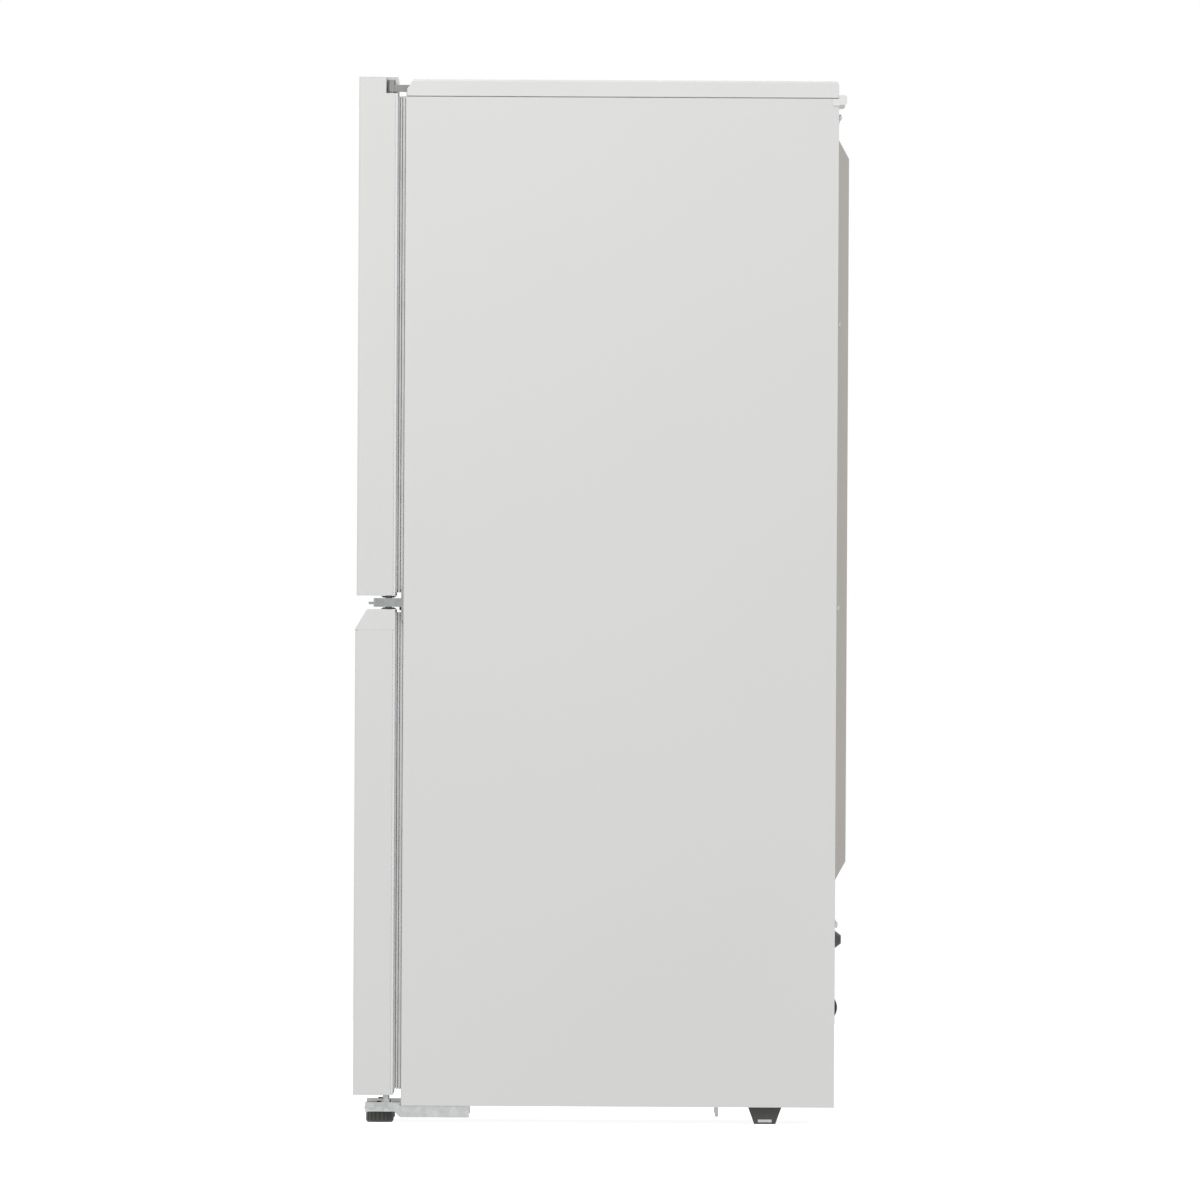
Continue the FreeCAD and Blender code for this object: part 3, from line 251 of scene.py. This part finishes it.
def metal(name, colour, roughness, streak=(1, 1, 0.15), tarnish=None):
    """Drawn or rolled bare metal: streaks along the draw, and tarnish in blotches."""
    m = Shader(name, colour, roughness, 1.0)
    ramp = m.vary_colour(m.noise(11 * MM, 8), tarnish or shade(colour, 0.88), shade(colour, 1.05))
    m.worn_edges(ramp, shade(colour, 1.15), 0.4)
    m.vary_roughness(m.noise(5 * MM, 6), roughness - 0.06, roughness + 0.14)
    m.round_edges(0.3 * MM)
    m.bump(m.noise(0.5 * MM, 4, streak), 0.02 * MM, 0.5)
    return m.material


def foam(name, colour):
    """Rigid foam with open cells where it was cut."""
    m = Shader(name, colour, 0.9)
    m.vary_colour(m.noise(6 * MM, 6), shade(colour, 0.85), shade(colour, 1.08))
    m.vary_roughness(m.noise(4 * MM), 0.8, 0.98)
    m.set("Subsurface Weight", 0.1)
    m.bump(m.cells(0.9 * MM), 0.3 * MM, 0.7)
    return m.material


WHITE = (0.63, 0.63, 0.622)
PLASTIC_WHITE = (0.62, 0.62, 0.612)

FINISHES = {
    "white_steel": enamel("white_enamel", WHITE),
    "white_plastic": moulded("white_caps", PLASTIC_WHITE, 0.38, 1.0),
    "liner_plastic": lining("white_lining", (0.68, 0.69, 0.69)),
    "grey_back": moulded("grey_back", (0.385, 0.365, 0.335), 0.55, 1.4),
    "galvanised": zinc("spangled_zinc", (0.47, 0.485, 0.48)),
    "dark_bracket": moulded("grey_bracket", (0.27, 0.27, 0.265), 0.34, 0.9, 0.5),
    "foam": foam("cut_foam", (0.72, 0.62, 0.36)),
    "aluminium": metal("rolled_aluminium", (0.78, 0.79, 0.8), 0.32),
    "dark_plastic": moulded("black_plastic", (0.045, 0.045, 0.042), 0.5, 0.8),
    "clear_plastic": clear("clear_mouldings", (0.96, 0.98, 0.99), 0.06, 1.46),
    "coated_wire": enamel("coated_wire", (0.7, 0.7, 0.7)),
    "soft_white_plastic": moulded("satin_white", (0.64, 0.64, 0.63), 0.45, 0.6),
    "shelf_glass": clear("toughened_glass", (0.86, 0.95, 0.92), 0.03, 1.5, 40),
    "black_steel": enamelled_black("black_enamel", (0.018, 0.018, 0.018)),
    "rubber": rubber("black_rubber", (0.035, 0.035, 0.035)),
    "seal_rubber": rubber("grey_seal", (0.63, 0.635, 0.625)),
    "copper": metal("drawn_copper", (0.72, 0.36, 0.2), 0.28, (1, 1, 0.1), (0.36, 0.17, 0.1)),
}

# A darker copy of the spangled zinc: painted shade for the middle hinge, which sits in the shaded
# gap between the doors.
SHADED_ZINC = zinc("zinc_painted_shade", (0.3, 0.31, 0.31))

for row in frame["record"]["subparts"]:
    mesh = nodes[row["node"]].data
    mesh.materials.clear()
    mesh.materials.append(FINISHES[row["material_slot"]])
# The middle hinge takes the zinc with painted shade in its colour.
nodes["middle_hinge"].data.materials[0] = SHADED_ZINC


# ---------------------------------------------------------------- added pieces

def solid(name, body, slot, points, faces):
    """A piece from its points and its faces."""
    mesh = bpy.data.meshes.new(name)
    mesh.from_pydata(points, [], faces)
    mesh.update()
    piece = bpy.data.objects.new(name, mesh)
    bpy.context.scene.collection.objects.link(piece)
    mesh.materials.append(FINISHES[slot])
    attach(piece, body)
    return piece


def lofted(name, body, slot, rings):
    """A closed solid through rings that all have the same number of points."""
    count = len(rings[0])
    points = [point for ring in rings for point in ring]
    faces = [tuple(reversed(range(count)))]
    for level in range(len(rings) - 1):
        low = level * count
        for i in range(count):
            after = (i + 1) % count
            faces.append((low + i, low + after, low + count + after, low + count + i))
    faces.append(tuple(range(len(points) - count, len(points))))
    piece = solid(name, body, slot, points, faces)
    made = bmesh.new()
    made.from_mesh(piece.data)
    bmesh.ops.recalc_face_normals(made, faces=made.faces)
    made.to_mesh(piece.data)
    made.free()
    return piece


def arc(centre, radius, start, end, steps):
    """Points along an arc in a plane, with its angles in degrees."""
    points = []
    for step in range(steps + 1):
        turn = math.radians(start + (end - start) * step / steps)
        points.append((centre[0] + radius * math.cos(turn), centre[1] + radius * math.sin(turn)))
    return points


def shelf_trim(node):
    """A moulded strip clipped over a glass shelf's front edge, with a rolled lip."""
    low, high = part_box(node)
    front, base, top = low[1], low[2], high[2]
    lip = arc((front - 0.6 * MM, (base + top) / 2 + 1.2 * MM), 4.4 * MM, 60, 262, 10)
    outline = lip + [
        (front + 16 * MM, base - 1.8 * MM),
        (front + 16 * MM, base - 0.1 * MM),
        (front - 0.1 * MM, base - 0.1 * MM),
        (front - 0.1 * MM, top + 0.1 * MM),
        (front + 11 * MM, top + 0.1 * MM),
        (front + 12 * MM, top + 0.9 * MM),
        (front + 11 * MM, top + 1.5 * MM),
    ]
    ends = (low[0] + 1 * MM, high[0] - 1 * MM)
    rings = [[(x, y, z) for y, z in outline] for x in ends]
    return lofted(node + "_trim", "cabinet", "soft_white_plastic", rings)


def dial_marks():
    """Numbers 1 to 5 on the housing's front, round the temperature knob."""
    low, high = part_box("temperature_knob")
    middle = ((low[0] + high[0]) / 2, (low[2] + high[2]) / 2)
    behind_housing_front = 4.6 * MM
    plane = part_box("damper_slider")[1][1] - behind_housing_front
    ring = 25.5 * MM
    for number in range(1, 6):
        turn = math.radians(210 - 240 * (number - 1) / 4)
        spot = (middle[0] + ring * math.cos(turn), middle[1] + ring * math.sin(turn))
        name = "dial_number_" + str(number)
        data = bpy.data.curves.new(name, "FONT")
        data.body = str(number)
        data.size = 6.5 * MM
        data.extrude = 0.12 * MM
        data.align_x = "CENTER"
        data.align_y = "CENTER"
        text = bpy.data.objects.new(name, data)
        bpy.context.scene.collection.objects.link(text)
        text.location = (spot[0], plane - 0.1 * MM, spot[1])
        text.rotation_euler = (math.pi / 2, 0, 0)
        data.materials.append(FINISHES["dark_plastic"])
        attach(text, "cabinet")


def lamp_board():
    """A strip of small domed lamps on a board behind the lens."""
    low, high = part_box("lamp_cover")
    top = high[2]
    margin = 8 * MM
    board_depth = 1.4
    outline = [(low[0] + margin, low[1] + margin), (high[0] - margin, low[1] + margin),
               (high[0] - margin, high[1] - margin), (low[0] + margin, high[1] - margin)]
    rings = [[(x, y, z) for x, y in outline] for z in (top - board_depth * MM, top - 0.2 * MM)]
    lofted("lamp_board", "cabinet", "soft_white_plastic", rings)
    for row in range(2):
        for column in range(4):
            x = low[0] + (high[0] - low[0]) * (0.3 + 0.4 * row)
            y = low[1] + (high[1] - low[1]) * (0.2 + 0.2 * column)
            rings = []
            for height, radius in ((0, 2.4), (0.7, 2.2), (1.1, 1.4), (1.2, 0.5)):
                level = top - (board_depth + height) * MM
                rings.append([(a, b, level) for a, b in arc((x, y), radius * MM, 0, 337.5, 15)])
            name = "lamp_dot_" + str(row * 4 + column + 1)
            lofted(name, "cabinet", "clear_plastic", rings)


def islands(node):
    """The box of each separate solid in a node's mesh."""
    made = bmesh.new()
    made.from_mesh(nodes[node].data)
    bmesh.ops.remove_doubles(made, verts=made.verts, dist=0.01 * MM)
    waiting = set(made.verts)
    found = []
    while waiting:
        group = [waiting.pop()]
        for vertex in group:
            for edge in vertex.link_edges:
                other = edge.other_vert(vertex)
                if other in waiting:
                    waiting.remove(other)
                    group.append(other)
        corners = [[pick(v.co[i] for v in group) for i in range(3)] for pick in (min, max)]
        found.append(corners)
    made.free()
    return found


def screw_dome(centre, along, across, radius):
    """Points and faces of a domed screw head with a cross recess."""
    steps = 40
    spread = [0.12, 0.2, 0.32, 0.46, 0.58, 0.64, 0.78, 0.9, 1.0]
    slot_half = 0.14 * radius
    points = [centre + along * (0.06 * MM)]
    faces = []
    for ratio in spread:
        for step in range(steps):
            turn = 2 * math.pi * step / steps
            u = radius * ratio * math.cos(turn)
            v = radius * ratio * math.sin(turn)
            height = 0.3 * radius * (1 - ratio * ratio) + 0.02 * MM
            if min(abs(u), abs(v)) < slot_half and ratio < 0.6:
                height = 0.06 * MM
            points.append(centre + across[0] * u + across[1] * v + along * height)
    for step in range(steps):
        after = (step + 1) % steps
        faces.append((0, 1 + step, 1 + after))
        for level in range(len(spread) - 1):
            low = 1 + level * steps
            high = low + steps
            faces.append((low + step, high + step, high + after, low + after))
    return points, faces


def screw_heads():
    """Domed heads with a cross recess on the screws at the back and on the top bracket."""
    right, rearward, up = Vector((1, 0, 0)), Vector((0, 1, 0)), Vector((0, 0, 1))
    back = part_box("cabinet_wrapper")[1][1]
    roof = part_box("cabinet_wrapper")[1][2]
    groups = {"back_screw_heads": ([], []), "hinge_screw_heads": ([], [])}
    for low, high in islands("screws"):
        middle = Vector([(a + b) / 2 for a, b in zip(low, high)])
        if high[1] > back:
            name, along, across, axis = "back_screw_heads", rearward, (up, right), 1
        elif high[2] > roof:
            name, along, across, axis = "hinge_screw_heads", up, (right, rearward), 2
        else:
            continue
        middle[axis] = high[axis]
        points, faces = screw_dome(middle, along, across, (high[0] - low[0]) / 2)
        start = len(groups[name][0])
        groups[name][0].extend(points)
        groups[name][1].extend(tuple(start + i for i in face) for face in faces)
    for name, (points, faces) in groups.items():
        if points:
            heads = solid(name, "cabinet", "galvanised", points, faces)
            heads.data.polygons.foreach_set("use_smooth", [True] * len(faces))


def weld_bead():
    """A rippled bead of weld above the flange round the compressor's shell."""
    low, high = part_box("compressor")
    middle = ((low[0] + high[0]) / 2, (low[1] + high[1]) / 2)
    level = low[2] + WELD_HEIGHT
    around, turns = 240, 10
    points = []
    faces = []
    for step in range(around):
        angle = 2 * math.pi * step / around
        thick = (1.1 + 0.22 * math.cos(angle * 80)) * MM
        for v, z in arc((WELD_RADIUS, level), thick, 0, 360 - 360 / turns, turns - 1):
            points.append((middle[0] + v * math.cos(angle), middle[1] + v * math.sin(angle), z))
        for turn in range(turns):
            after = (turn + 1) % turns
            base, ahead = step * turns, ((step + 1) % around) * turns
            faces.append((base + turn, ahead + turn, ahead + after, base + after))
    bead = solid("compressor_weld", "cabinet", "black_steel", points, faces)
    bead.data.polygons.foreach_set("use_smooth", [True] * len(faces))


def hinge_washers():
    """Stepped nylon washers over and under the middle hinge, which the doors turn against."""
    low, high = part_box("upper_door_bushes")
    middle = ((low[0] + high[0]) / 2, (low[1] + high[1]) / 2)
    door_gap = (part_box("lower_door_bushes")[1][2], low[2])
    for name, level, up in (("upper", door_gap[1], -1), ("lower", door_gap[0], 1)):
        rings = []
        for drop, radius in ((0.3, 8.2), (0.9, 8.8), (1.5, 8.8), (1.5, 7.2), (2.4, 7.0)):
            z = level + up * drop * MM
            rings.append([(x, y, z) for x, y in arc(middle, radius * MM, 0, 352.5, 47)])
        lofted("hinge_washer_" + name, "cabinet", "dark_plastic", rings)


def foot_glides():
    """Pale hard pads let into the outer faces of the two rear feet."""
    for side, (low, high) in zip(("left", "right"), sorted(islands("rear_feet"))):
        face = low[0] if side == "left" else high[0]
        inward = 1 if side == "left" else -1
        middle = (low[1] + high[1]) / 2
        rings = []
        for depth, half in ((1.0, 8.4), (0.25, 8.4), (0.05, 8.0)):
            rings.append([(face + inward * depth * MM, middle + y * MM, low[2] + z * MM)
                          for y, z in ((-half, 2.1), (half, 2.1), (half, 5.5), (-half, 5.5))])
        lofted("foot_glide_" + side, "cabinet", "galvanised", rings)


for shelf in ("glass_shelf", "crisper_cover"):
    shelf_trim(shelf)
screw_heads()
weld_bead()
foot_glides()
hinge_washers()
dial_marks()
lamp_board()


# ---------------------------------------------------------------- stage, light and camera

def lamp(name, spot, target, size, power):
    data = bpy.data.lights.new(name, "AREA")
    data.shape = "DISK"
    data.size = size
    data.energy = power
    light = bpy.data.objects.new(name, data)
    bpy.context.scene.collection.objects.link(light)
    light.location = spot
    light.rotation_euler = (Vector(target) - Vector(spot)).to_track_quat("-Z", "Y").to_euler()


def floor():
    mesh = bpy.data.meshes.new("floor")
    made = bmesh.new()
    bmesh.ops.create_grid(made, x_segments=1, y_segments=1, size=14)
    made.to_mesh(mesh)
    made.free()
    plane = bpy.data.objects.new("floor", mesh)
    bpy.context.scene.collection.objects.link(plane)
    shader = Shader("pale_floor", (0.35, 0.35, 0.35), 0.8)
    shader.set("Emission Color", (1, 1, 1, 1))
    shader.set("Emission Strength", 0.8)
    shader.vary_roughness(shader.noise(0.2), 0.75, 0.85)
    mesh.materials.append(shader.material)
    plane.visible_diffuse = False


def sky(overhead, below):
    """White to the camera; what lights the object fades from overhead to below."""
    world = bpy.data.worlds.new("studio")
    world.use_nodes = True
    tree = world.node_tree
    background = tree.nodes["Background"]
    background.inputs["Color"].default_value = (1, 1, 1, 1)
    seen = tree.nodes.new("ShaderNodeBackground")
    seen.inputs["Color"].default_value = (1, 1, 1, 1)
    height = tree.nodes.new("ShaderNodeSeparateXYZ")
    tree.links.new(tree.nodes.new("ShaderNodeTexCoord").outputs["Generated"],
                   height.inputs["Vector"])
    fade = tree.nodes.new("ShaderNodeMapRange")
    fade.inputs["From Min"].default_value = -0.7
    fade.inputs["From Max"].default_value = 0.7
    fade.inputs["To Min"].default_value = below
    fade.inputs["To Max"].default_value = overhead
    tree.links.new(height.outputs["Z"], fade.inputs["Value"])
    tree.links.new(fade.outputs["Result"], background.inputs["Strength"])
    mix = tree.nodes.new("ShaderNodeMixShader")
    tree.links.new(tree.nodes.new("ShaderNodeLightPath").outputs["Is Camera Ray"],
                   mix.inputs["Fac"])
    tree.links.new(background.outputs["Background"], mix.inputs[1])
    tree.links.new(seen.outputs["Background"], mix.inputs[2])
    tree.links.new(mix.outputs["Shader"], tree.nodes["World Output"].inputs["Surface"])
    bpy.context.scene.world = world


def camera(middle, view_height, distance, roll):
    """A long lens square on to the hinge side, at the height of the object's middle."""
    data = bpy.data.cameras.new("camera")
    data.sensor_width = 36
    data.lens = 36 * distance / view_height
    data.clip_end = 100
    view = bpy.data.objects.new("camera", data)
    bpy.context.scene.collection.objects.link(view)
    side = cad_box[1][0]
    view.location = (side + distance, middle[0], middle[1])
    view.rotation_euler = (math.pi / 2, 0, math.pi / 2)
    view.rotation_euler.rotate_axis("Z", roll)
    bpy.context.scene.camera = view


bpy.context.scene.view_settings.view_transform = "Standard"
floor()
sky(1.0, 0.66)
centre = Vector((0, 0, 0.63))
lamp("key", (2.6, -1.4, 2.9), (0, 0, 0.9), 2.0, 44)
lamp("fill", (3.4, 3.0, 2.2), centre, 2.6, 18)
lamp("rear", (-2.6, 3.2, 2.8), centre, 2.4, 30)
camera((-1.4 * MM, 628 * MM), 1.44, 60, math.radians(0.3))
